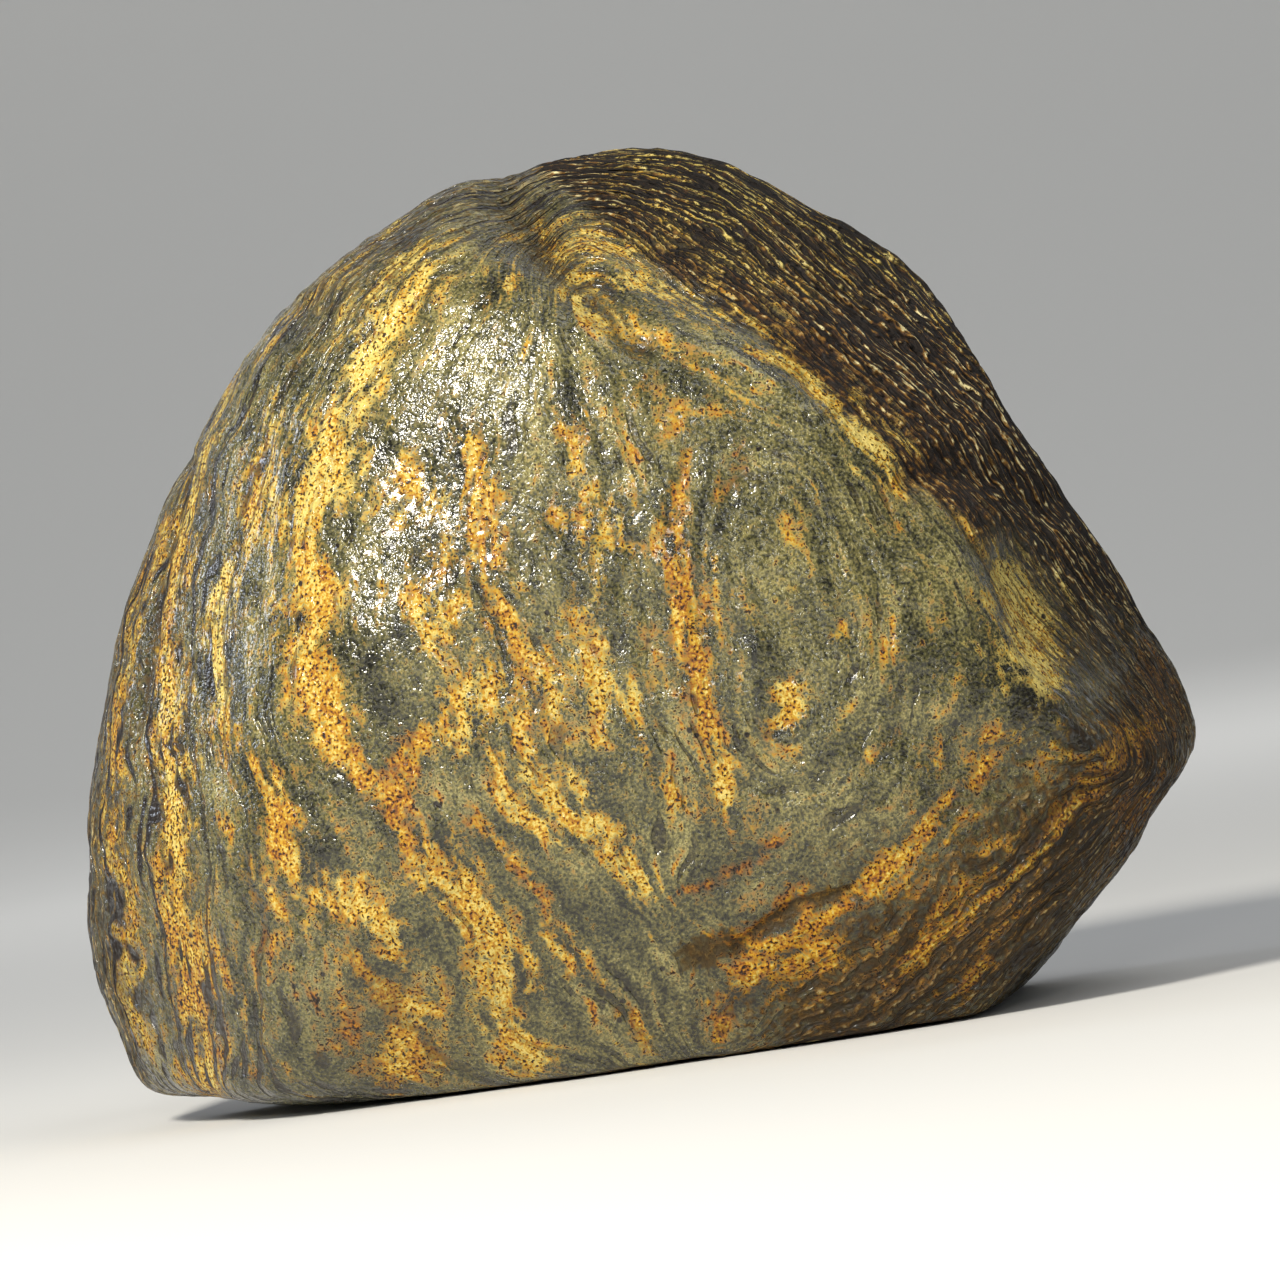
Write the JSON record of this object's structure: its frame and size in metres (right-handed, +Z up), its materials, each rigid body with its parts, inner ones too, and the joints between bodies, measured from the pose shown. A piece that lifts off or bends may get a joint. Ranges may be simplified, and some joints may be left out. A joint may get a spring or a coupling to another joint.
{
  "type": "stromatolite specimen",
  "caption": "Domed, water-worn block of banded iron stone with a smooth front face, a rough stepped flank and a broken flat underside it stands on.",
  "frame": {"origin": "on the flat underside, below the middle of the stone's front outline", "axes": "+Z up from the underside, -Y out of the smooth domed face, +X to that face's right, along the stone's length"},
  "size_m": [0.1523, 0.0894, 0.1212],
  "materials": {
    "banded_iron_stone": "water-worn iron stone, half glossy, grey-green with ochre and rust bands"
  },
  "bodies": {
    "root": {"stone": "banded_iron_stone"}
  },
  "joints": []
}
